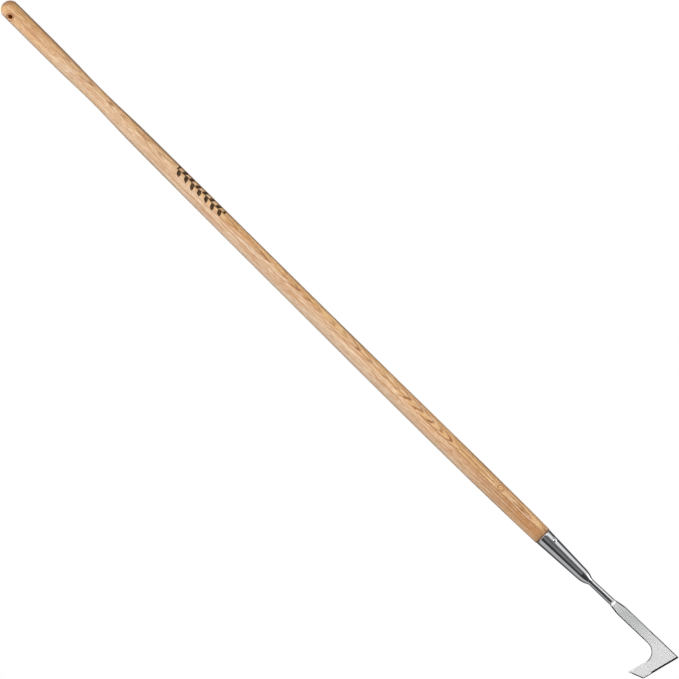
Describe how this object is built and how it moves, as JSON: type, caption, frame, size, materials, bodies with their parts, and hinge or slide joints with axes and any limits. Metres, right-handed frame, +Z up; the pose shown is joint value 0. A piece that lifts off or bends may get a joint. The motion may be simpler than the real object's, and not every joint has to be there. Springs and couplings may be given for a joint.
{
  "type": "long-handled hand weeder",
  "caption": "Standing-height paving weeder: a turned ash shaft, a riveted steel socket and stem, and a flat hooked blade for cleaning joints between slabs.",
  "frame": {"origin": "centre of the hanging hole through the shaft's domed end", "axes": "+Z up along the shaft, the tool hanging blade down; the hanging hole runs along Y; the blade's front face looks 37 degrees round from -Y towards +X"},
  "size_m": [0.0661, 0.0535, 1.549],
  "materials": {
    "ash_wood": "oiled pale ash",
    "polished_steel": "polished",
    "satin_steel": "satin",
    "weld_steel": "ground weld"
  },
  "bodies": {
    "root": {"handle": "ash_wood", "socket": "polished_steel", "socket_seam_weld": "weld_steel", "rivet": "polished_steel", "stem": "polished_steel", "nose_weld": "weld_steel", "blade": "satin_steel", "blade_weld_front": "weld_steel", "blade_weld_back": "weld_steel"}
  },
  "joints": []
}
